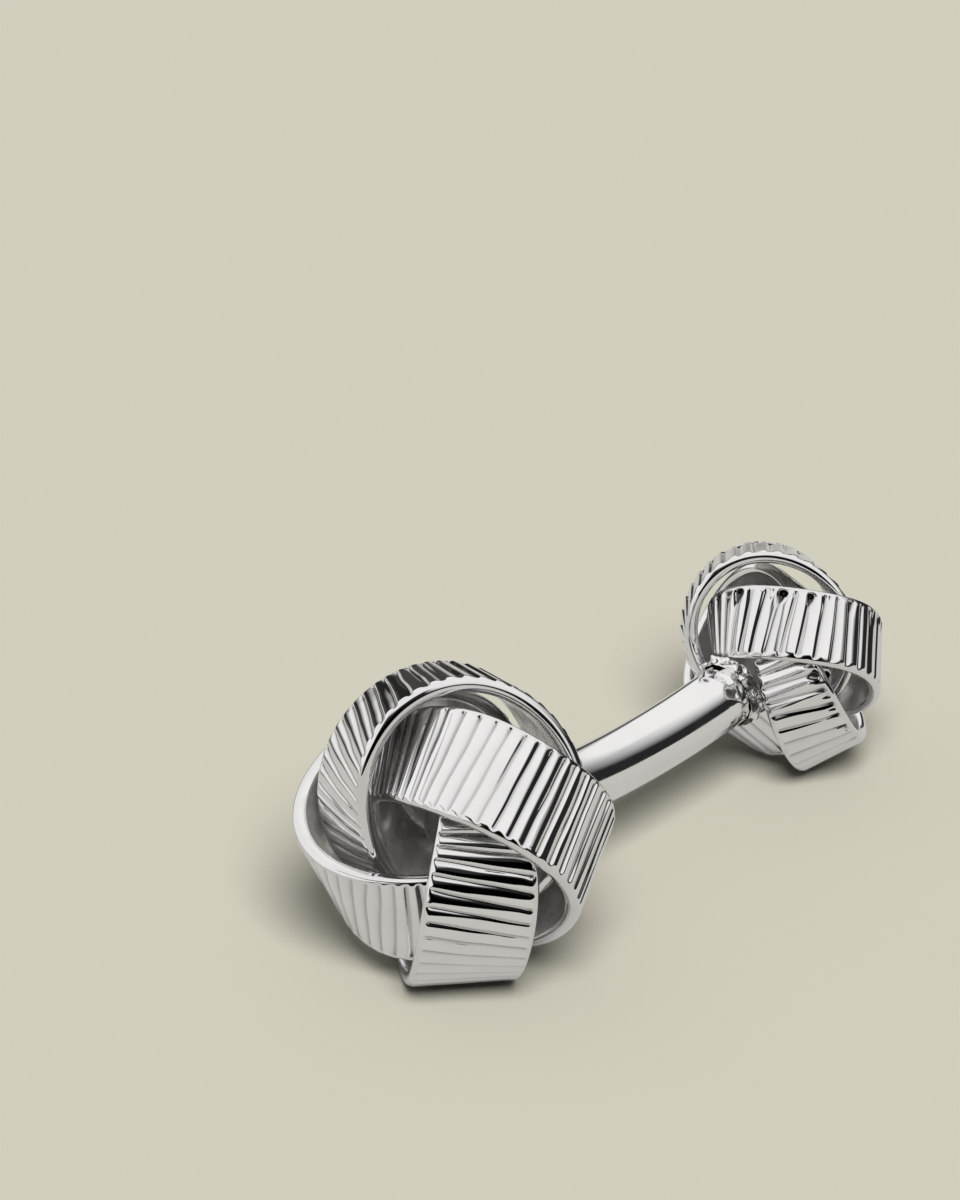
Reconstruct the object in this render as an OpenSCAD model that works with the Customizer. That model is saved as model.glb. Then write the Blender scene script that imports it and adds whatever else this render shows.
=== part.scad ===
/* [Large knot] */
// Radius of a large hoop, to the middle of its wall, across its short way
large_radius = 4.5; // [4.4:0.1:6]
// Wall of a large hoop
large_wall = 0.7; // [0.5:0.01:0.74]
// Ribs round a large hoop
large_ribs = 46; // [24:2:50]
// Turn of the large knot about the bar
large_spin = -60.5; // [-180:0.5:180]

/* [Small knot] */
// Radius of a small hoop, to the middle of its wall, across its short way
small_radius = 3.35; // [3.3:0.05:4.4]
// Wall of a small hoop
small_wall = 0.56; // [0.4:0.01:0.6]
// Ribs round a small hoop
small_ribs = 34; // [20:2:38]
// Turn of the small knot about the bar
small_spin = -40.5; // [-180:0.5:180]

/* [Ribbed band] */
// Smooth rim left beside the ribs
rim_w = 0.36; // [0.2:0.02:0.6]
// Depth of the grooves between ribs
groove_depth = 0.16; // [0.08:0.02:0.24]
// Slope at the ends of the grooves
groove_run = 0.18; // [0.08:0.02:0.3]
// Rounding of the rims
rim_round = 0.16; // [0.08:0.02:0.22]

/* [Bar] */
// Radius of the round bar
bar_radius = 1.375; // [1.1:0.025:1.375]
// Length of the curved stretch between the knots
bar_curve_length = 14.9; // [12:0.1:20]
// Angle that the curved stretch turns through
bar_bend = 22.6; // [12:0.2:36]
// How far the bar passes the middle of the large knot
bar_past_middle = 0.4; // [0:0.1:0.8]
// Rounding of the bar's end inside the large knot
bar_end_round = 0.3; // [0.1:0.05:0.6]
// How far the bar goes into the small knot
bar_into_small = 0.4; // [0.2:0.05:0.4]
// How much thinner the bar is where it goes into the knots
bar_relief = 0.01; // [0.005:0.005:0.03]
// Clearance round the bar where it passes between the large hoops
bar_clearance = 0.17; // [0.08:0.01:0.3]

/* [Solder] */
// Height of the solder along the bar
solder_height = 0.55; // [0.3:0.05:0.7]
// How far the solder spreads from the bar at the small knot
solder_spread = 0.35; // [0.2:0.05:0.4]
// Thin edge of the solder
solder_edge = 0.12; // [0.05:0.01:0.2]
// How far the solder goes into the small knot
solder_sink = 0.3; // [0.2:0.05:0.3]
// Clearance of the solder round the curved bar
solder_gap = 0.05; // [0.02:0.01:0.1]

/* [Resting pose] */
// Roll about the long way when it lies on a flat surface
rest_roll = 16.3; // [-20:0.1:20]
// Pitch that brings both knots down to the surface
rest_pitch = 3.15; // [0:0.05:6]

/* [Hidden] */
$fn = 64;

// The weave. Each knot is four equal hoops, a quarter turn apart about the bar.
// Lean of a hoop's axis from the pole of its knot
lean = 48.3;
// Shares of the hoop's radius
offset_share = 0.316; // hoop's middle, out from the middle of the knot
long_share = 1.09; // long way of the hoop
sway_share = -0.27; // sideways run of its tucked-in end
large_width_share = 1.078; // band width
small_width_share = 0.97; // band width
// The tucked-in end is narrower and its wall turns, so that it clears its neighbours
tuck_share = 0.56; // share of the width that the tucked-in end loses
tuck_power = 3.5; // how late it loses it
tuck_turn = 18.9; // turn of its wall
// Places along the pole of a knot, as shares of the hoop's radius
pole_share = 1.036; // where the hoops end
waist_share = 0.71; // just inside the narrowest place between the four hoops
mouth_share = 0.343; // radius left free there by the four hoops
// Spread of the solder inside the large knot, as a share of its height
inner_spread_share = 0.75;

large_width = large_radius * large_width_share;
small_width = small_radius * small_width_share;
large_pole = large_radius * pole_share;
small_pole = small_radius * pole_share;
bend_radius = bar_curve_length / (bar_bend * PI / 180);
half_bend = bar_bend / 2;
quarter = 90;

// Share of the way from the free end (0) to the tucked-in end (1) of a hoop
function tucked(t) = (1 - cos(t)) / 2;

// Middle line of a hoop in the frame of its knot, whose pole is +Z
function axis_n() = [sin(lean), 0, cos(lean)];
function axis_v() = [-cos(lean), 0, sin(lean)];
function axis_u() = [0, 1, 0];
function hoop_line(r, t) =
    r * ((offset_share + long_share * cos(t)) * axis_u()
        + sin(t) * axis_v()
        + sway_share * tucked(t) * sin(t) * axis_n());
function unit(a) = a / norm(a);
function hoop_run(r, t) =
    unit(-long_share * sin(t) * axis_u() + cos(t) * axis_v()
        + sway_share * (sin(t) * sin(t) / 2 + tucked(t) * cos(t)) * axis_n());
// Direction across the band, square to its run, before and after its turn
function flat_across(r, t) =
    let (run = hoop_run(r, t)) unit(axis_n() - (axis_n() * run) * run);
function turn_at(t) = -tuck_turn * sin(t) * tucked(t);
function hoop_across(r, t) =
    let (g = flat_across(r, t), o = cross(hoop_run(r, t), g), a = turn_at(t))
    g * cos(a) + o * sin(a);
function hoop_out(r, t) =
    let (g = flat_across(r, t), o = cross(hoop_run(r, t), g), a = turn_at(t))
    o * cos(a) - g * sin(a);
function half_width(width, t) =
    width / 2 * (1 - tuck_share * pow(tucked(t), tuck_power));

// Section of the band as [across, out], from half width h, half wall k and groove g
function band_section(h, k, g) = [
    [-h + rim_round, -k],
    [h - rim_round, -k],
    [h, 0],
    [h - rim_round, k],
    [h - rim_w, k],
    [h - rim_w - groove_run, k - g],
    [-h + rim_w + groove_run, k - g],
    [-h + rim_w, k],
    [-h + rim_round, k],
    [-h, 0]
];
section_points = 10;

function hoop_ring(r, width, wall, t, g) = [
    for (p = band_section(half_width(width, t), wall / 2, g))
        hoop_line(r, t) + p[0] * hoop_across(r, t) + p[1] * hoop_out(r, t)
];
// Two rings for each rib: one on its crest and one in the groove beside it
function hoop_points(r, width, wall, ribs) = [
    for (i = [0:2 * ribs - 1])
        each hoop_ring(r, width, wall, i * 180 / ribs, (i % 2) * groove_depth)
];
function hoop_faces(rings, m = section_points) = [
    for (i = [0:rings - 1], j = [0:m - 1])
        let (a = i * m, b = ((i + 1) % rings) * m, k = (j + 1) % m)
        each [[a + j, b + k, a + k], [a + j, b + j, b + k]]
];

// Frames. The bar's curved stretch lies in the XZ plane, lowest at the origin.
function turn_y(a, p) = [p[0] * cos(a) + p[2] * sin(a), p[1], -p[0] * sin(a) + p[2] * cos(a)];
function turn_x(a, p) = [p[0], p[1] * cos(a) - p[2] * sin(a), p[1] * sin(a) + p[2] * cos(a)];
function turn_z(a, p) = [p[0] * cos(a) - p[1] * sin(a), p[0] * sin(a) + p[1] * cos(a), p[2]];
function bar_end(side) =
    [side * bend_radius * sin(half_bend), 0, bend_radius * (1 - cos(half_bend))];
function knot_middle(side, pole) =
    bar_end(side) + pole * [side * cos(half_bend), 0, sin(half_bend)];
// The large knot's pole points along the bar away from it; the small one's towards it
large_tip = -quarter + half_bend;
small_tip = -quarter - half_bend;
function in_large(p) =
    knot_middle(-1, large_pole) + turn_y(large_tip, turn_z(large_spin, p));
function in_small(p) =
    knot_middle(1, small_pole) + turn_y(small_tip, turn_z(small_spin, p));
function at_rest(p) = turn_y(rest_pitch, turn_x(rest_roll, p));

// Bounds of both knots in the resting pose
large_cloud = [
    for (k = [0:3], p = hoop_points(large_radius, large_width, large_wall, large_ribs))
        at_rest(in_large(turn_z(-quarter * k, p)))
];
small_cloud = [
    for (k = [0:3], p = hoop_points(small_radius, small_width, small_wall, small_ribs))
        at_rest(in_small(turn_z(-quarter * k, p)))
];
low_x = min([for (p = large_cloud) p[0]]);
high_x = max([for (p = small_cloud) p[0]]);
low_y = min([for (p = concat(large_cloud, small_cloud)) p[1]]);
high_y = max([for (p = concat(large_cloud, small_cloud)) p[1]]);
low_z = min([for (p = concat(large_cloud, small_cloud)) p[2]]);
base = [(low_x + high_x) / 2, (low_y + high_y) / 2, low_z];

// Puts a shape from the bar's frame into the resting pose on the surface
module rest() {
    translate(-base) rotate([0, rest_pitch, 0]) rotate([rest_roll, 0, 0]) children();
}
module at_large() {
    translate(knot_middle(-1, large_pole))
        rotate([0, large_tip, 0]) rotate([0, 0, large_spin]) children();
}
module at_small() {
    translate(knot_middle(1, small_pole))
        rotate([0, small_tip, 0]) rotate([0, 0, small_spin]) children();
}

// A ribbed hoop, numbered clockwise as seen from the pole
module hoop(r, width, wall, ribs, number) {
    rotate([0, 0, -quarter * (number - 1)])
        polyhedron(hoop_points(r, width, wall, ribs), hoop_faces(2 * ribs), convexity = 6);
}
module large_hoop(number) {
    color("silver")
        rest() at_large() hoop(large_radius, large_width, large_wall, large_ribs, number);
}
module small_hoop(number) {
    color("silver")
        rest() at_small() hoop(small_radius, small_width, small_wall, small_ribs, number);
}

// The bar: a curved stretch, and a straight lead into each knot
small_lead_radius = bar_radius - bar_relief;
large_lead_radius =
    min(bar_radius, large_radius * mouth_share - bar_clearance) - bar_relief;
lead_root = bar_radius / 5; // start of a lead, inside the curved stretch
lead_height = lead_root + large_pole + bar_past_middle;
module bar_curve() {
    translate([0, 0, bend_radius]) rotate([quarter, 0, 0]) rotate(-quarter - half_bend)
        rotate_extrude(angle = bar_bend) translate([bend_radius, 0]) circle(bar_radius);
}
module small_lead() {
    cylinder(h = lead_root + bar_into_small, r = small_lead_radius);
}
module large_lead() {
    rotate_extrude() {
        square([large_lead_radius, lead_height - bar_end_round]);
        square([large_lead_radius - bar_end_round, lead_height]);
        translate([large_lead_radius - bar_end_round, lead_height - bar_end_round])
            circle(bar_end_round);
    }
}
module bar() {
    color("gainsboro") rest() {
        bar_curve();
        translate(bar_end(-1)) rotate([0, large_tip, 0])
            translate([0, 0, -lead_root]) large_lead();
        translate(bar_end(1)) rotate([0, quarter - half_bend, 0])
            translate([0, 0, -lead_root]) small_lead();
    }
}

// Solder inside the large knot, in the corner between the bar and the four hoops
module large_knot_solder() {
    color("lightgray") rest()
        at_large() translate([0, 0, -large_radius * waist_share])
            rotate_extrude() translate([large_lead_radius, 0])
                polygon([
                    [0, 0],
                    [solder_edge / 2, 0],
                    [solder_height * inner_spread_share, solder_height - solder_edge],
                    [solder_height * inner_spread_share, solder_height],
                    [0, solder_height]
                ]);
}
// Solder round the bar's end, in the mouth of the small knot
module small_knot_solder() {
    color("lightgray") rest()
        at_small() translate([0, 0, small_pole - solder_sink])
            rotate_extrude() translate([bar_radius + solder_gap, 0])
                polygon([
                    [0, 0],
                    [solder_edge, 0],
                    [solder_spread, solder_height / 2],
                    [solder_edge, solder_height],
                    [0, solder_height]
                ]);
}

large_hoop(1);  // large_hoop_1
large_hoop(2);  // large_hoop_2
large_hoop(3);  // large_hoop_3
large_hoop(4);  // large_hoop_4
small_hoop(1);  // small_hoop_1
small_hoop(2);  // small_hoop_2
small_hoop(3);  // small_hoop_3
small_hoop(4);  // small_hoop_4
bar();
large_knot_solder();
small_knot_solder();
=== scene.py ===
import math
from functools import partial

import bmesh
import bpy
from mathutils import Matrix, Vector, noise


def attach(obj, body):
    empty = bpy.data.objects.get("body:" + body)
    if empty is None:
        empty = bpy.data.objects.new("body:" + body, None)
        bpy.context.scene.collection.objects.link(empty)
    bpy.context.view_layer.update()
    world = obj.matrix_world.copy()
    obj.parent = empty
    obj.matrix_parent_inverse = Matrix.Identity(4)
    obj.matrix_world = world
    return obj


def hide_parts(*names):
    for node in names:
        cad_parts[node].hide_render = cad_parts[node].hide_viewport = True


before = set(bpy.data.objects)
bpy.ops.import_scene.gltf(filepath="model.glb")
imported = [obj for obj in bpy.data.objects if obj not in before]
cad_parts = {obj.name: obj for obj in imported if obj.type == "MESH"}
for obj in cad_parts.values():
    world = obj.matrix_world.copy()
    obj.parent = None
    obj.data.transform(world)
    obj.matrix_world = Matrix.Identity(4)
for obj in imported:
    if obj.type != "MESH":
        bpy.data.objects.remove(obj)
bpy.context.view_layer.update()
mm = 0.001
print("frame loaded:", len(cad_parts), "nodes")


# places shared with the solids, in mm and degrees
seats = {
    "base": (-1.25073, -0.51454, -4.32767),  # the frame's origin, from the bar's middle
    "roll": 16.3, "pitch": 3.15,             # how it lies on the surface
    "bend": 22.6, "curve": 14.9,             # the bar's angle and the length of its curve
    "lean": 48.3,                            # a hoop's axis, from the pole of its knot
    "poleShare": 1.036,                      # from the curve's end to a knot's middle, in radii
    "largeRadius": 4.5, "largeSpin": -60.5,
    "smallRadius": 3.35, "smallSpin": -40.5,
}


def turnAbout(axis, degrees):
    return Matrix.Rotation(math.radians(degrees), 4, axis)


def moveBy(v):
    return Matrix.Translation(Vector(v) * mm)


bendRadius = seats["curve"] / math.radians(seats["bend"])
halfBend = seats["bend"] / 2
endAngle = math.radians(halfBend)
restPlace = (moveBy([-c for c in seats["base"]])
             @ turnAbout("Y", seats["pitch"]) @ turnAbout("X", seats["roll"]))


def barEnd(side):
    # the end of the bar's curve: side is -1 at the large knot and 1 at the small one
    return Vector((side * bendRadius * math.sin(endAngle), 0,
                   bendRadius * (1 - math.cos(endAngle))))


def knotPlace(side, radius, spin):
    # where a knot sits: its pole is +Z in its own axes
    middle = barEnd(side) + radius * seats["poleShare"] * Vector(
        (side * math.cos(endAngle), 0, math.sin(endAngle)))
    tip = side * -halfBend - 90
    return restPlace @ moveBy(middle) @ turnAbout("Y", tip) @ turnAbout("Z", spin)


largePlace = knotPlace(-1, seats["largeRadius"], seats["largeSpin"])
smallPlace = knotPlace(1, seats["smallRadius"], seats["smallSpin"])


# node helpers
def joinTo(tree, socket, value):
    if isinstance(value, bpy.types.NodeSocket):
        tree.links.new(value, socket)
    else:
        socket.default_value = value


def calc(tree, operation, *values):
    node = tree.nodes.new("ShaderNodeMath")
    node.operation = operation
    for socket, value in zip(node.inputs, values):
        joinTo(tree, socket, value)
    return node.outputs[0]


def vecCalc(tree, operation, first, second=None, scale=None):
    node = tree.nodes.new("ShaderNodeVectorMath")
    node.operation = operation
    joinTo(tree, node.inputs[0], first)
    if second is not None:
        joinTo(tree, node.inputs[1], second)
    if scale is not None:
        joinTo(tree, node.inputs["Scale"], scale)
    return node.outputs["Value" if operation == "DOT_PRODUCT" else "Vector"]


def joinXyz(tree, x, y, z):
    node = tree.nodes.new("ShaderNodeCombineXYZ")
    for socket, value in zip(node.inputs, (x, y, z)):
        joinTo(tree, socket, value)
    return node.outputs[0]


def splitXyz(tree, vector):
    node = tree.nodes.new("ShaderNodeSeparateXYZ")
    joinTo(tree, node.inputs[0], vector)
    return node.outputs


def noiseAt(tree, vector, scale, detail=2.0):
    node = tree.nodes.new("ShaderNodeTexNoise")
    joinTo(tree, node.inputs["Vector"], vector)
    node.inputs["Scale"].default_value = scale
    node.inputs["Detail"].default_value = detail
    return node.outputs[0]


def mixColour(tree, share, first, second):
    node = tree.nodes.new("ShaderNodeMix")
    node.data_type = "RGBA"
    joinTo(tree, node.inputs[0], share)
    joinTo(tree, node.inputs[6], first)   # 6, 7 and 2 are its colour sockets
    joinTo(tree, node.inputs[7], second)
    return node.outputs[2]


def mapTo(tree, value, fromLow, fromHigh, toLow=0.0, toHigh=1.0):
    node = tree.nodes.new("ShaderNodeMapRange")
    for socket, v in zip(node.inputs, (value, fromLow, fromHigh, toLow, toHigh)):
        joinTo(tree, socket, v)
    return node.outputs[0]


# finishes
def newFinish(name):
    finish = bpy.data.materials.new(name)
    finish.use_nodes = True
    tree = finish.node_tree
    return finish, tree, tree.nodes["Principled BSDF"]


def objectPlace(tree):
    return tree.nodes.new("ShaderNodeTexCoord").outputs["Object"]


def readAttribute(tree, name):
    node = tree.nodes.new("ShaderNodeAttribute")
    node.attribute_name = name
    return node.outputs["Fac"]


def patches(tree, place, look, low=0.0, high=1.0):
    # soft patches; look is the noise's scale and detail and the two levels they run between
    scale, detail, start, end = look
    return mapTo(tree, noiseAt(tree, place, scale, detail), start, end, low, high)


bumpDetail = 3.0


def metalBump(tree, shader, place, bumps):
    # several noises, each (scale, strength, distance), one on top of the other
    normal = None
    for scale, strength, distance in bumps:
        bump = tree.nodes.new("ShaderNodeBump")
        bump.inputs["Strength"].default_value = strength
        bump.inputs["Distance"].default_value = distance
        joinTo(tree, bump.inputs["Height"], noiseAt(tree, place, scale, bumpDetail))
        if normal:
            tree.links.new(normal, bump.inputs["Normal"])
        normal = bump.outputs[0]
    tree.links.new(normal, shader.inputs["Normal"])


bandLook = {
    "bright": (0.93, 0.932, 0.94, 1), "dull": (0.87, 0.872, 0.88, 1),
    "cloud": (420.0, 4.0, 0.4, 0.7),
    # the groove tone and the three numbers after it are painted shade: they darken the band's
    # colour down into each groove
    "grooveShadeTone": (0.08, 0.078, 0.075, 1), "grooveShadeWide": 0.12,
    "grooveShadeDeep": 0.30, "grooveShadePower": 5.0,  # more of it at the very bottom of a groove
    "insideTone": (0.95, 0.94, 0.92, 1), "insideDull": (0.62, 0.61, 0.59, 1),
    "mottle": (650.0, 4.0, 0.38, 0.62), "insideMetal": 0.93,
    "smooth": 0.02, "rough": 0.06, "haze": (900.0, 3.0, 0.35, 0.75),
    "insideSmooth": 0.20, "insideRough": 0.46,
    "bumps": ((350.0, 0.08, 0.00006), (2600.0, 0.03, 0.00001)),
}


def bandFinish():
    finish, tree, shader = newFinish("polishedBand")
    place = objectPlace(tree)
    tone = mixColour(tree, patches(tree, place, bandLook["cloud"]),
                     bandLook["bright"], bandLook["dull"])
    groove = readAttribute(tree, "groove")
    # painted shade: the band's colour darkens towards the bottom of each groove, most at the very
    # bottom
    wide = calc(tree, "MULTIPLY", groove, bandLook["grooveShadeWide"])
    deep = calc(tree, "MULTIPLY", calc(tree, "POWER", groove, bandLook["grooveShadePower"]),
                bandLook["grooveShadeDeep"])
    tone = mixColour(tree, calc(tree, "ADD", wide, deep), tone, bandLook["grooveShadeTone"])
    inside = readAttribute(tree, "inside")
    mottle = patches(tree, place, bandLook["mottle"])
    insideTone = mixColour(tree, mottle, bandLook["insideDull"], bandLook["insideTone"])
    tree.links.new(mixColour(tree, inside, tone, insideTone), shader.inputs["Base Color"])
    tree.links.new(mapTo(tree, inside, 0.0, 1.0, 1.0, bandLook["insideMetal"]),
                   shader.inputs["Metallic"])
    haze = patches(tree, place, bandLook["haze"], bandLook["smooth"], bandLook["rough"])
    insideHaze = mapTo(tree, mottle, 0.0, 1.0,
                       bandLook["insideRough"], bandLook["insideSmooth"])
    tree.links.new(mapTo(tree, inside, 0.0, 1.0, haze, insideHaze), shader.inputs["Roughness"])
    metalBump(tree, shader, place, bandLook["bumps"])
    return finish


barLook = {
    "bright": (0.93, 0.932, 0.94, 1), "dull": (0.88, 0.882, 0.89, 1),
    "cloud": (300.0, 4.0, 0.4, 0.7),
    "smooth": 0.05, "rough": 0.14, "haze": (700.0, 3.0, 0.35, 0.75),
    "bumps": ((220.0, 0.08, 0.00008), (3000.0, 0.05, 0.00001)),
}


def barFinish():
    finish, tree, shader = newFinish("polishedBar")
    place = objectPlace(tree)
    tree.links.new(mixColour(tree, patches(tree, place, barLook["cloud"]),
                             barLook["bright"], barLook["dull"]), shader.inputs["Base Color"])
    shader.inputs["Metallic"].default_value = 1.0
    haze = patches(tree, place, barLook["haze"], barLook["smooth"], barLook["rough"])
    tree.links.new(haze, shader.inputs["Roughness"])
    metalBump(tree, shader, place, barLook["bumps"])
    return finish


solderLook = {
    "bright": (0.92, 0.92, 0.91, 1), "dark": (0.13, 0.125, 0.12, 1),
    "pits": (1250.0, 3.0, 0.42, 0.50), "smooth": 0.06, "pitRough": 0.30,
    "bumps": ((1300.0, 0.5, 0.00012), (5000.0, 0.2, 0.00002)),
}


def solderFinish():
    finish, tree, shader = newFinish("roughSolder")
    place = objectPlace(tree)
    pits = patches(tree, place, solderLook["pits"])
    tree.links.new(mixColour(tree, pits, solderLook["dark"], solderLook["bright"]),
                   shader.inputs["Base Color"])
    shader.inputs["Metallic"].default_value = 1.0
    tree.links.new(mapTo(tree, pits, 0.0, 1.0, solderLook["pitRough"], solderLook["smooth"]),
                   shader.inputs["Roughness"])
    metalBump(tree, shader, place, solderLook["bumps"])
    return finish


bandMetal, barMetal, solderMetal = bandFinish(), barFinish(), solderFinish()
print("finishes made")


# a ribbed hoop, in its own axes: X along its axis, Y out from the knot's middle; in mm
hoopShape = {
    "Offset Share": 0.316, "Long Share": 1.09, "Sway Share": -0.27,
    "Tuck Share": 0.56, "Tuck Power": 3.5, "Tuck Turn": math.radians(18.9),
    "Edge": 0.28, "Outer Round": 3.2, "Inner Round": 5.5,
    "Rim": 0.11, "Rib End": 0.20, "Rim Level": 0.48,
    "Groove Depth": 0.10, "Groove Power": 2.2,
    "Unevenness": 0.36, "End Drift": 0.6, "Depth Drift": 0.6,
    "End Start": 1.0, "End Level": 0.43, "End Gain": 8.0, "End Widening": 0.9,
    "Waviness": 0.012, "Wave Level": 0.75,
}
bandShape = {
    "large": {"Radius": 4.5, "Width": 4.851, "Wall": 0.7, "Ribs": 46, "End Depth": 0.22},
    "small": {"Radius": 3.35, "Width": 3.2495, "Wall": 0.56, "Ribs": 34, "End Depth": 1.2},
}
handwork = {  # for each hoop, how far its ribs run askew and how far they lean to one side
    "large": {"slants": (0.34, 0.05, 0.14, 0.36), "leans": (0.50, 0.50, -0.60, -0.30),
              "seed": 11},
    "small": {"slants": (0.15, 0.24, 0.10, 0.15), "leans": (-0.60, -0.50, -0.60, -0.30),
              "seed": 23},
}
handNoise = {
    "perRib": 0.11, "perMm": 0.06,                            # how fast it changes
    "drift": (1.0, 1.0), "ends": (1.7, 2.0), "polish": (0.45, 1.0),  # scale and detail
}
hoopSteps = {"Rib Steps": 24, "Outer Steps": 62, "Inner Steps": 24}
seedStep = 97
edgeGap = 0.0001   # the outer face's last points still count as outer ones
weldGap = 4e-7     # in metres, closes the two seams


def hoopLine(tree, given, sine, cosine, tucked):
    # the hoop's middle line, the direction across the band and the one out of its outer face
    m, v = partial(calc, tree), partial(vecCalc, tree)
    swayed = m("MULTIPLY", given["Sway Share"], m("MULTIPLY", tucked, sine))
    line = v("SCALE", joinXyz(
        tree, swayed,
        m("ADD", given["Offset Share"], m("MULTIPLY", given["Long Share"], cosine)),
        sine), scale=given["Radius"])
    swayRun = m("MULTIPLY", given["Sway Share"], m(
        "ADD", m("MULTIPLY", m("MULTIPLY", sine, sine), 0.5), m("MULTIPLY", tucked, cosine)))
    along = v("NORMALIZE", joinXyz(
        tree, swayRun,
        m("MULTIPLY", m("MULTIPLY", given["Long Share"], sine), -1.0), cosine))
    axis = (1.0, 0.0, 0.0)
    shadow = v("SCALE", along, scale=v("DOT_PRODUCT", along, axis))
    flat = v("NORMALIZE", v("SUBTRACT", axis, shadow))
    up = v("CROSS_PRODUCT", along, flat)
    turn = m("MULTIPLY", m("MULTIPLY", m("MULTIPLY", given["Tuck Turn"], sine), tucked), -1.0)
    turnCos, turnSin = m("COSINE", turn), m("SINE", turn)
    across = v("ADD", v("SCALE", flat, scale=turnCos), v("SCALE", up, scale=turnSin))
    outward = v("SUBTRACT", v("SCALE", up, scale=turnCos), v("SCALE", flat, scale=turnSin))
    return line, across, outward


def ribGrooves(tree, given, way, sine, cosine, half, reach):
    # how much of the full depth is filed away, from 0 to 1 and more, and the file's drift
    m = partial(calc, tree)
    wander = vecCalc(tree, "SCALE", joinXyz(tree, cosine, sine, m(
        "ADD", given["Seed"], m("MULTIPLY", reach, handNoise["perMm"]))),
        scale=m("MULTIPLY", given["Ribs"], handNoise["perRib"]))
    drift = m("SUBTRACT", noiseAt(tree, wander, *handNoise["drift"]), 0.5)

    # ribs across the band: askew, leaning and unevenly spaced
    slant = m("MULTIPLY", given["Slant"], m("MULTIPLY", sine, reach))
    count = m("SUBTRACT", m("MULTIPLY", way, given["Ribs"]), slant)
    count = m("ADD", count, m("MULTIPLY", drift, given["Unevenness"]))
    phase = m("MULTIPLY", count, 2 * math.pi)
    phase = m("ADD", phase, m("MULTIPLY", given["Lean"], m("COSINE", phase)))
    wave = m("MULTIPLY", m("ADD", m("COSINE", phase), 1.0), 0.5)

    # some grooves are deeper where they end, on the side away from the knot's pole
    ribEnd = m("SUBTRACT", half, m("ADD", given["Rim"], given["Rib End"]))
    nearEnd = mapTo(tree, m("MULTIPLY", reach, -1.0),
                    m("SUBTRACT", half, given["End Start"]), ribEnd)
    rough = m("SUBTRACT", noiseAt(tree, wander, *handNoise["ends"]), given["End Level"])
    rough = m("MAXIMUM", m("MULTIPLY", rough, given["End Gain"]), 0.0)
    deeper = m("MULTIPLY", m("MULTIPLY", nearEnd, nearEnd),
               m("MULTIPLY", given["End Depth"], rough))
    power = m("DIVIDE", given["Groove Power"],
              m("ADD", 1.0, m("MULTIPLY", deeper, given["End Widening"])))
    groove = m("MULTIPLY", m("POWER", wave, power), m("ADD", 1.0, deeper))

    # all of them fade into a smooth rim
    fade = m("DIVIDE", m("SUBTRACT", m("SUBTRACT", half, given["Rim"]),
                         m("ABSOLUTE", reach)), given["Rib End"])
    fade = m("ADD", fade, m("MULTIPLY", drift, given["End Drift"]))
    fade = m("MINIMUM", m("MAXIMUM", fade, 0.0), 1.0)
    fade = m("MULTIPLY", m("MULTIPLY", fade, fade),
             m("SUBTRACT", 3.0, m("MULTIPLY", fade, 2.0)))
    groove = m("ADD", given["Rim Level"], m("MULTIPLY", fade, m(
        "SUBTRACT", groove, given["Rim Level"])))
    return groove, drift


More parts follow.
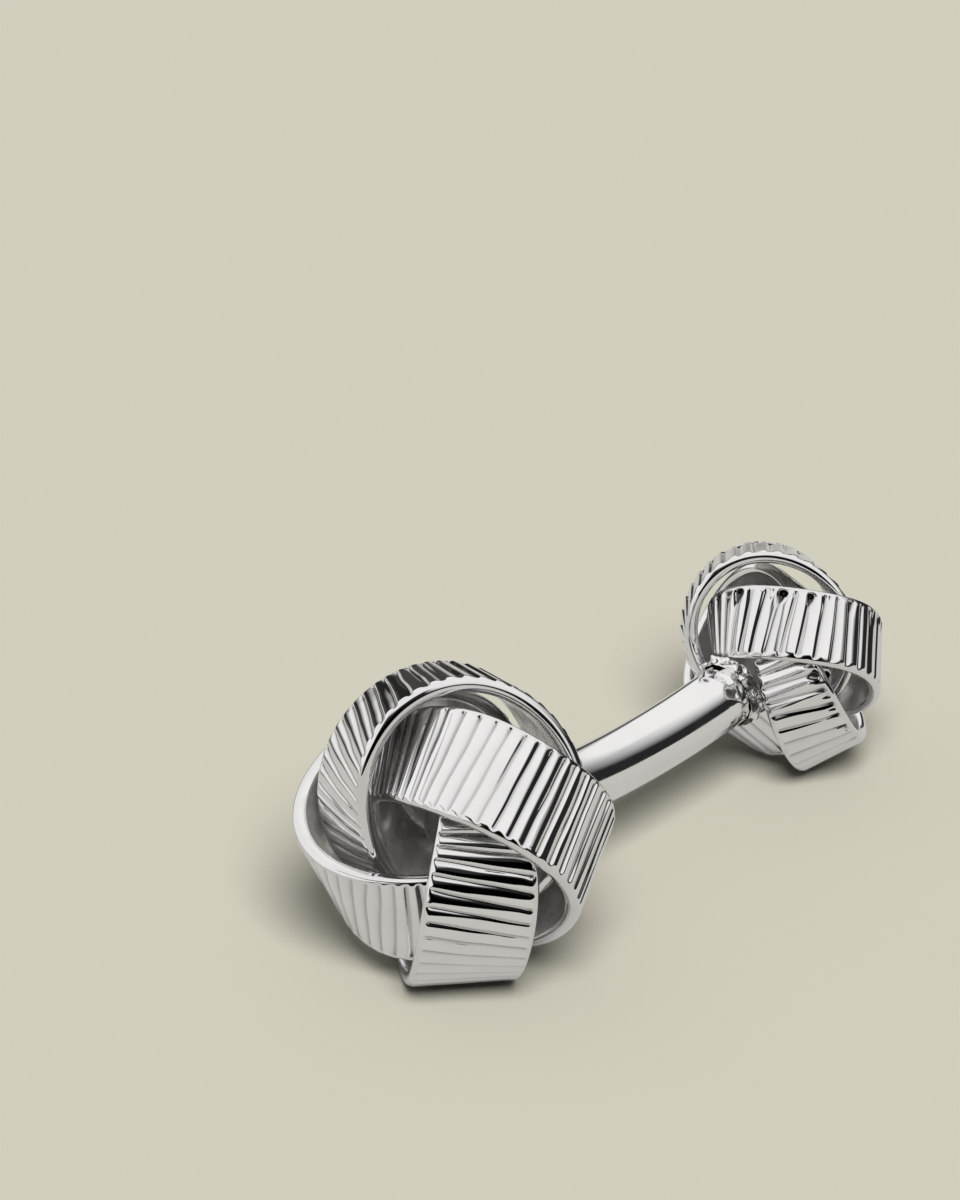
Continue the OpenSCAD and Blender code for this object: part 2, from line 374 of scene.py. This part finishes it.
def hoopTree():
    tree = bpy.data.node_groups.new("ribbedHoop", "GeometryNodeTree")
    m, v = partial(calc, tree), partial(vecCalc, tree)
    face = tree.interface
    for name in [*hoopShape, "Radius", "Width", "Wall", "End Depth", "Slant", "Lean", "Seed"]:
        face.new_socket(name=name, in_out="INPUT", socket_type="NodeSocketFloat")
    for name in ["Ribs", *hoopSteps]:
        face.new_socket(name=name, in_out="INPUT", socket_type="NodeSocketInt")
    face.new_socket(name="Finish", in_out="INPUT", socket_type="NodeSocketMaterial")
    face.new_socket(name="Geometry", in_out="OUTPUT", socket_type="NodeSocketGeometry")
    given = tree.nodes.new("NodeGroupInput").outputs

    # a sheet of points: along the hoop in X, round its section in Y
    sheet = tree.nodes.new("GeometryNodeMeshGrid")
    section = m("ADD", given["Outer Steps"], given["Inner Steps"])
    joinTo(tree, sheet.inputs["Size X"], 1.0)
    joinTo(tree, sheet.inputs["Size Y"], 1.0)
    joinTo(tree, sheet.inputs["Vertices X"], m("ADD", m(
        "MULTIPLY", given["Ribs"], given["Rib Steps"]), 1.0))
    joinTo(tree, sheet.inputs["Vertices Y"], m("ADD", section, 1.0))
    spot = splitXyz(tree, tree.nodes.new("GeometryNodeInputPosition").outputs[0])
    way, sectionWay = m("ADD", spot[0], 0.5), m("ADD", spot[1], 0.5)
    angle = m("MULTIPLY", way, 2 * math.pi)
    sine, cosine = m("SINE", angle), m("COSINE", angle)
    tucked = m("MULTIPLY", m("SUBTRACT", 1.0, cosine), 0.5)
    line, across, outward = hoopLine(tree, given, sine, cosine, tucked)

    # place across the band, from -1 to 1 on the outer face and back on the inner one
    outerShare = m("DIVIDE", given["Outer Steps"], section)
    onInner = m("GREATER_THAN", sectionWay, m("ADD", outerShare, edgeGap))
    onOuter = m("SUBTRACT", 1.0, onInner)
    outerRun = m("SUBTRACT", m("MULTIPLY", m("DIVIDE", sectionWay, outerShare), 2.0), 1.0)
    innerWay = m("DIVIDE", m("SUBTRACT", sectionWay, outerShare),
                 m("SUBTRACT", 1.0, outerShare))
    innerRun = m("SUBTRACT", 1.0, m("MULTIPLY", 2.0, innerWay))
    run = m("ADD", m("MULTIPLY", innerRun, onInner), m("MULTIPLY", outerRun, onOuter))
    share = m("SINE", m("MULTIPLY", run, math.pi / 2))

    # half width, narrower where the end is tucked in
    narrow = m("SUBTRACT", 1.0, m("MULTIPLY", given["Tuck Share"],
                                  m("POWER", tucked, given["Tuck Power"])))
    half = m("MULTIPLY", m("MULTIPLY", given["Width"], 0.5), narrow)
    reach = m("MULTIPLY", half, share)
    sideways = v("SCALE", across, scale=reach)

    # edges: the outer face rounds off, the inner one has a small chamfer
    past = m("DIVIDE", m("SUBTRACT", m("ABSOLUTE", reach),
                         m("SUBTRACT", half, given["Edge"])), given["Edge"])
    past = m("MINIMUM", m("MAXIMUM", past, 0.0), 1.0)
    outerEdge = m("SQRT", m("MAXIMUM", m(
        "SUBTRACT", 1.0, m("POWER", past, given["Outer Round"])), 0.0))
    innerEdge = m("SUBTRACT", 1.0, m("POWER", past, given["Inner Round"]))
    bulge = m("ADD", m("MULTIPLY", innerEdge, onInner), m("MULTIPLY", outerEdge, onOuter))

    # half the wall, less the grooves on the outer face
    groove, drift = ribGrooves(tree, given, way, sine, cosine, half, reach)
    groove = m("MULTIPLY", groove, onOuter)
    depth = m("MULTIPLY", given["Groove Depth"],
              m("ADD", 1.0, m("MULTIPLY", drift, given["Depth Drift"])))
    height = m("MULTIPLY", bulge, m("SUBTRACT", m("MULTIPLY", given["Wall"], 0.5),
                                    m("MULTIPLY", groove, depth)))
    inside = m("MULTIPLY", onInner, m("SUBTRACT", 1.0, past))

    # soft waves left by hand polishing
    seedPlace = joinXyz(tree, given["Seed"], 0.0, 0.0)
    uneven = noiseAt(tree, v("ADD", line, v("ADD", seedPlace, sideways)), *handNoise["polish"])
    uneven = m("MAXIMUM", m("SUBTRACT", given["Wave Level"], uneven), 0.0)
    uneven = m("MULTIPLY", uneven, given["Waviness"])
    side = m("SUBTRACT", 1.0, m("MULTIPLY", onInner, 2.0))
    lift = m("MULTIPLY", m("SUBTRACT", height, m("MULTIPLY", uneven, bulge)), side)
    point = v("ADD", line, v("ADD", sideways, v("SCALE", outward, scale=lift)))

    shape = sheet.outputs["Mesh"]
    for name, value in (("groove", groove), ("inside", inside)):
        store = tree.nodes.new("GeometryNodeStoreNamedAttribute")
        store.data_type = "FLOAT"
        store.domain = "POINT"
        store.inputs["Name"].default_value = name
        tree.links.new(shape, store.inputs["Geometry"])
        tree.links.new(value, store.inputs["Value"])
        shape = store.outputs["Geometry"]
    for kind, values in (
            ("GeometryNodeSetPosition", {"Position": v("SCALE", point, scale=mm)}),
            ("GeometryNodeMergeByDistance", {"Distance": weldGap}),
            ("GeometryNodeSetShadeSmooth", {}),
            ("GeometryNodeRealizeInstances", {}),
            ("GeometryNodeSetMaterial", {"Material": given["Finish"]})):
        step = tree.nodes.new(kind)
        tree.links.new(shape, step.inputs["Geometry"])
        for name, value in values.items():
            joinTo(tree, step.inputs[name], value)
        shape = step.outputs["Geometry"]
    tree.links.new(shape, tree.nodes.new("NodeGroupOutput").inputs["Geometry"])
    return tree


def setInputs(modifier, values):
    wanted = {item.name: item.identifier for item in modifier.node_group.interface.items_tree
              if item.in_out == "INPUT"}
    for name, value in values.items():
        modifier[wanted[name]] = value


def plainMesh(carrier, name):
    seen = carrier.evaluated_get(bpy.context.evaluated_depsgraph_get())
    mesh = bpy.data.meshes.new_from_object(seen)
    mesh.name = name
    return mesh


def outwardFaces(mesh):
    bm = bmesh.new()
    bm.from_mesh(mesh)
    bmesh.ops.recalc_face_normals(bm, faces=bm.faces)
    bm.to_mesh(mesh)
    bm.free()


def addPiece(name, mesh, metal, node):
    piece = bpy.data.objects.new(name, mesh)
    bpy.context.scene.collection.objects.link(piece)
    if not mesh.materials:
        mesh.materials.append(metal)
    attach(piece, "root")
    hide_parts(node)


def hoopTurn():
    # from a hoop's own axes to its knot's, where Z is the pole
    a = math.radians(seats["lean"])
    return Matrix(((math.sin(a), 0, -math.cos(a), 0), (0, 1, 0, 0),
                   (math.cos(a), 0, math.sin(a), 0), (0, 0, 0, 1)))


ribbedHoop = hoopTree()


def makeHoops(size, place):
    hand = handwork[size]
    for number, (slant, lean) in enumerate(zip(hand["slants"], hand["leans"])):
        carrier = bpy.data.objects.new("carrier", bpy.data.meshes.new("carrier"))
        bpy.context.scene.collection.objects.link(carrier)
        modifier = carrier.modifiers.new("ribbedHoop", "NODES")
        modifier.node_group = ribbedHoop
        setInputs(modifier, {
            **hoopShape, **bandShape[size], **hoopSteps, "Slant": slant, "Lean": lean,
            "Seed": float(hand["seed"] + seedStep * number), "Finish": bandMetal})
        name = f"{size}Hoop{number + 1}"
        mesh = plainMesh(carrier, name)
        carrier.modifiers.remove(modifier)
        bpy.data.objects.remove(carrier)
        mesh.transform(place @ turnAbout("Z", -90 * number) @ hoopTurn())
        outwardFaces(mesh)
        addPiece(name, mesh, bandMetal, f"{size}_hoop_{number + 1}")
    print(size, "hoops made")


makeHoops("large", largePlace)
makeHoops("small", smallPlace)


def skinOver(name, loops, closed, place):
    # faces over loops of points in mm: closed joins the last loop to the first, or both are capped
    bm = bmesh.new()
    rings = [[bm.verts.new(point) for point in loop] for loop in loops]
    following = rings[1:] + rings[:1] if closed else rings[1:]
    for first, second in zip(rings, following):
        for i in range(len(first)):
            j = (i + 1) % len(first)
            bm.faces.new((first[i], first[j], second[j], second[i]))
    if not closed:
        bm.faces.new(rings[0])
        bm.faces.new(rings[-1])
    bmesh.ops.recalc_face_normals(bm, faces=bm.faces)
    for f in bm.faces:
        f.smooth = len(f.verts) == 4  # caps stay flat
    mesh = bpy.data.meshes.new(name)
    bm.to_mesh(mesh)
    bm.free()
    mesh.transform(place @ Matrix.Scale(mm, 4))
    return mesh


# the bar, swept along its own line, in mm
barShape = {
    "radius": 1.375, "relief": 0.01,     # it is this much thinner inside the large knot
    "pastMiddle": 0.4, "endRound": 0.3,  # its end there
    # its end in the small knot: how far in, how much thinner
    "smallEnd": ((0.05, 0.01), (0.25, 0.01), (0.36, 0.03), (0.4, 0.09)),
    "sides": 96, "roundSteps": 8, "straightSteps": 25, "curveSteps": 150,
    "waviness": 0.006, "waveScale": 0.5,
    "melted": 1.5, "melt": 0.16, "meltLevel": 0.15,  # the soldered end, how far and how deep
    "meltScale": 1.9, "meltNoise": (1.0, 2.1, 3),
}


def barLine():
    # (point, direction, radius) from inside the large knot to the small one
    rings = []
    thin = barShape["radius"] - barShape["relief"]
    into = Vector((-math.cos(endAngle), 0, math.sin(endAngle)))
    length = seats["largeRadius"] * seats["poleShare"] + barShape["pastMiddle"]
    roundness = barShape["endRound"]
    steps = barShape["roundSteps"]
    for k in range(steps + 1):
        b = math.radians(90) * k / steps
        r = thin - roundness + roundness * math.sin(b)
        rings.append((barEnd(-1) + into * (length - roundness * (1 - math.cos(b))), -into, r))
    steps = barShape["straightSteps"]
    for k in range(1, steps):
        gone = roundness + (length - roundness) * k / steps
        rings.append((barEnd(-1) + into * (length - gone), -into, thin))
    steps = barShape["curveSteps"]
    for k in range(steps + 1):
        b = -endAngle + 2 * endAngle * k / steps
        point = Vector((bendRadius * math.sin(b), 0, bendRadius * (1 - math.cos(b))))
        rings.append((point, Vector((math.cos(b), 0, math.sin(b))), barShape["radius"]))
    out = Vector((math.cos(endAngle), 0, math.sin(endAngle)))
    for gone, less in barShape["smallEnd"]:
        rings.append((barEnd(1) + out * gone, out, barShape["radius"] - less))
    return rings


def makeBar():
    sides = barShape["sides"]
    loops = []
    for point, way, r in barLine():
        across = Vector((0, 1, 0))
        up = way.cross(across).normalized()
        near = max(0.0, 1 - (barEnd(1) - point).length / barShape["melted"])
        loop = []
        for i in range(sides):
            b = 2 * math.pi * i / sides
            radial = across * math.cos(b) + up * math.sin(b)
            spot = point + radial
            wave = noise.noise(spot * barShape["waveScale"])
            lump = noise.fractal(spot * barShape["meltScale"], *barShape["meltNoise"])
            less = barShape["waviness"] * (0.5 + 0.5 * wave)
            less += barShape["melt"] * near * max(0.0, barShape["meltLevel"] + lump)
            loop.append(point + radial * (r - less))
        loops.append(loop)
    mesh = skinOver("bar", loops, False, restPlace)
    addPiece("bar", mesh, barMetal, "bar")
    print("bar made")


makeBar()


# ragged solder, a lumpy ring round the bar, in mm along its knot's pole
solderShape = {
    "small": {"inner": 1.37, "low": 3.05, "high": 3.70, "spread": 0.38, "lump": 0.34,
              "seed": 5.0},
    "large": {"inner": 1.36, "low": -3.2, "high": -2.62, "spread": 0.26, "lump": 0.07,
              "seed": 9.0},
    "around": 180, "across": 20,
    "swell": 0.65, "swellChange": 0.7, "swellScale": 2.1, "leastSwell": 0.15,
    "rise": 0.8, "riseChange": 0.4,
    "lumpScale": 3.0, "lumpRound": 0.6, "lumpNoise": (1.0, 2.2, 2),
    "lumpOut": 0.8, "lumpUp": 0.5,
}


def makeSolder(size, place):
    spec = solderShape[size]
    seed = spec["seed"]
    middle = (spec["low"] + spec["high"]) / 2
    tall = (spec["high"] - spec["low"]) / 2
    around, across = solderShape["around"], solderShape["across"]
    loops = []
    for i in range(around):
        a = 2 * math.pi * i / around
        way = Vector((math.cos(a), math.sin(a), 0))
        swell = solderShape["swell"] + solderShape["swellChange"] * noise.noise(
            way * solderShape["swellScale"] + Vector((0, 0, seed)))
        loop = []
        for j in range(across):
            b = 2 * math.pi * j / across
            free = 0.5 + 0.5 * math.cos(b)  # 0 on the bar, 1 away from it
            spread = spec["spread"] * max(solderShape["leastSwell"], swell) * free
            rise = tall * math.sin(b) * (
                solderShape["rise"] + solderShape["riseChange"] * swell)
            spot = Vector((way.x * solderShape["lumpScale"], way.y * solderShape["lumpScale"],
                           b * solderShape["lumpRound"] + seed))
            lump = spec["lump"] * noise.fractal(spot, *solderShape["lumpNoise"])
            out = spec["inner"] + spread + lump * free * solderShape["lumpOut"]
            up = middle + rise + lump * free * solderShape["lumpUp"]
            loop.append(way * out + Vector((0, 0, up)))
        loops.append(loop)
    mesh = skinOver(size + "KnotSolder", loops, True, place)
    addPiece(size + "KnotSolder", mesh, solderMetal, size + "_knot_solder")


makeSolder("small", smallPlace)
makeSolder("large", largePlace)
print("solder made")


# camera, floor and light
cameraView = {
    "elevation": 27.92, "azimuth": 218.38, "distance": 519.0,  # in degrees and mm
    "lens": 372.3, "sensor": 36, "clip": (0.01, 10),
    "knotSpot": (-1.101, -9.419),  # the large knot's middle in the camera's axes, mm
}


def levelWay(turn, rise=0.0):
    # a direction, in degrees to the right of the camera as seen from the cufflink
    a, e = math.radians(cameraView["azimuth"] + turn), math.radians(rise)
    return (math.cos(e) * math.cos(a), math.cos(e) * math.sin(a), math.sin(e))


def makeCamera():
    a = math.radians(cameraView["azimuth"])
    back = Vector(levelWay(0, cameraView["elevation"]))
    right = Vector((-math.sin(a), math.cos(a), 0))
    up = back.cross(right)
    x, y = cameraView["knotSpot"]
    spot = largePlace.translation + mm * (
        back * cameraView["distance"] - right * x - up * y)
    data = bpy.data.cameras.new("camera")
    data.sensor_width = cameraView["sensor"]
    data.lens = cameraView["lens"]
    data.clip_start, data.clip_end = cameraView["clip"]
    camera = bpy.data.objects.new("camera", data)
    camera.matrix_world = Matrix((
        (right.x, up.x, back.x, spot.x), (right.y, up.y, back.y, spot.y),
        (right.z, up.z, back.z, spot.z), (0, 0, 0, 1)))
    bpy.context.scene.collection.objects.link(camera)
    bpy.context.scene.camera = camera


floorLook = {
    "size": 0.9, "rough": 0.9,
    "tone": (0.200, 0.194, 0.162, 1), "grain": 60.0, "grainTone": 0.985,
    "mirrored": (0.176, 0.172, 0.164, 1), "mirroredShare": 0.15,
    # the fade below is painted shade in the floor's colour, seen only in the metal's reflections
    "fade": (0.045, 0.10), "fadeMost": 0.9,  # from and to, in metres behind, and how dark
}


def makeFloor():
    mesh = bpy.data.meshes.new("floor")
    s = floorLook["size"] / 2
    mesh.from_pydata([(-s, -s, 0), (s, -s, 0), (s, s, 0), (-s, s, 0)], [], [(0, 1, 2, 3)])
    floor = bpy.data.objects.new("floor", mesh)
    bpy.context.scene.collection.objects.link(floor)
    finish, tree, shader = newFinish("paleGround")
    place = objectPlace(tree)
    grain = (*(c * floorLook["grainTone"] for c in floorLook["tone"][:3]), 1)
    tone = mixColour(tree, noiseAt(tree, place, floorLook["grain"]), floorLook["tone"], grain)

    # the metal mirrors the same floor with less of its colour
    rays = tree.nodes.new("ShaderNodeLightPath").outputs
    mirrored = calc(tree, "ADD", rays["Is Glossy Ray"], rays["Is Transmission Ray"])
    seen = calc(tree, "ADD", rays["Is Camera Ray"],
                calc(tree, "MULTIPLY", mirrored, floorLook["mirroredShare"]))
    tone = mixColour(tree, seen, floorLook["mirrored"], tone)

    # painted shade: far behind the cufflink, the floor that the metal mirrors is painted darker,
    # standing in for light falling off there; the camera sees it unchanged
    behind = vecCalc(tree, "DOT_PRODUCT", place, levelWay(180))
    paintedShade = mapTo(tree, behind, *floorLook["fade"], 0.0, floorLook["fadeMost"])
    paintedShade = calc(tree, "MULTIPLY", paintedShade, calc(tree, "SUBTRACT", 1.0, rays["Is Camera Ray"]))
    tree.links.new(mixColour(tree, paintedShade, tone, (0, 0, 0, 1)), shader.inputs["Base Color"])
    shader.inputs["Roughness"].default_value = floorLook["rough"]
    shader.inputs["Specular IOR Level"].default_value = 0.0
    mesh.materials.append(finish)


# cardWay, columnFoot and columnHead are a turn and a rise in degrees, as levelWay takes them;
# other pairs are where a change starts and ends: a height, or how squarely a way is faced
skyLook = {
    "tone": (1.0, 0.99, 0.975, 1), "white": 0.90, "dark": 0.02,
    "rightWay": 62, "rightRange": (-0.55, 0.35),           # from its left to its right
    "leftDark": (-0.10, 0.04), "rightDark": (0.34, 0.74),  # the dark horizon
    "backRange": (0.55, 0.9), "backRise": 0.15,
    "frontRange": (-0.1, 0.4), "frontRise": 0.16, "frontDrop": 0.14,
    "cardWay": (34, 33), "card": (0.90, 0.98), "cardLevel": 0.85,
    "columnFoot": (9, 0), "columnHead": (-18, 45), "column": (0.33, 0.41),
    "columnWay": 3, "columnFront": (0.0, 0.05), "columnTop": (0.70, 0.79), "columnDark": 0.97,
}


def makeSky():
    # a white tent with a dark horizon, a dark column in front and a bright card over it
    world = bpy.data.worlds.new("studio")
    bpy.context.scene.world = world
    world.use_nodes = True
    tree = world.node_tree
    backdrop = tree.nodes["Background"]
    way = tree.nodes.new("ShaderNodeTexCoord").outputs["Generated"]
    rise = splitXyz(tree, way)[2]

    m = partial(calc, tree)

    def facing(turn, up=0.0):
        return vecCalc(tree, "DOT_PRODUCT", way, levelWay(turn, up))

    # the horizon: low and high are the heights where its dark ends and the white begins
    side = mapTo(tree, facing(skyLook["rightWay"]), *skyLook["rightRange"])
    low, high = (mapTo(tree, side, 0.0, 1.0, left, right)
                 for left, right in zip(skyLook["leftDark"], skyLook["rightDark"]))
    back = mapTo(tree, facing(180), *skyLook["backRange"], 0.0, skyLook["backRise"])
    front = m("MULTIPLY", side, mapTo(tree, facing(0), *skyLook["frontRange"]))
    low = m("ADD", m("ADD", low, back), m("MULTIPLY", front, skyLook["frontRise"]))
    high = m("SUBTRACT", m("ADD", high, back), m("MULTIPLY", front, skyLook["frontDrop"]))
    level = mapTo(tree, rise, low, high, skyLook["dark"], skyLook["white"])

    # the card
    card = mapTo(tree, facing(*skyLook["cardWay"]), *skyLook["card"])
    level = m("MAXIMUM", level, m("MULTIPLY", card, skyLook["cardLevel"]))

    # the column, which leans from its foot to its head
    foot, head = Vector(levelWay(*skyLook["columnFoot"])), Vector(levelWay(*skyLook["columnHead"]))
    sideways = vecCalc(tree, "DOT_PRODUCT", way, tuple(foot.cross(head).normalized()))
    column = mapTo(tree, m("ABSOLUTE", sideways), *skyLook["column"], 1.0, 0.0)
    inFront = mapTo(tree, facing(skyLook["columnWay"]), *skyLook["columnFront"])
    column = m("MULTIPLY", column, inFront)
    column = m("MULTIPLY", column, mapTo(tree, rise, *skyLook["columnTop"], 1.0, 0.0))
    level = m("MULTIPLY", level, m("SUBTRACT", 1.0, m(
        "MULTIPLY", column, skyLook["columnDark"])))
    tree.links.new(level, backdrop.inputs["Strength"])
    backdrop.inputs["Color"].default_value = skyLook["tone"]


lampLook = {"turn": 8, "rise": 51, "away": 0.4, "strength": 10.15, "softness": 30}


def makeLamp():
    # a soft front light; the metal mirrors the tent alone
    data = bpy.data.lights.new("keyLamp", "SUN")
    data.energy = lampLook["strength"]
    data.angle = math.radians(lampLook["softness"])
    lamp = bpy.data.objects.new("keyLamp", data)
    way = Vector(levelWay(lampLook["turn"], lampLook["rise"]))
    lamp.location = way * lampLook["away"]
    lamp.rotation_euler = way.to_track_quat("Z", "Y").to_euler()
    lamp.visible_glossy = False
    bpy.context.scene.collection.objects.link(lamp)


makeFloor()
makeSky()
makeLamp()
makeCamera()
bpy.context.scene.view_settings.view_transform = "Standard"
print("stage made")
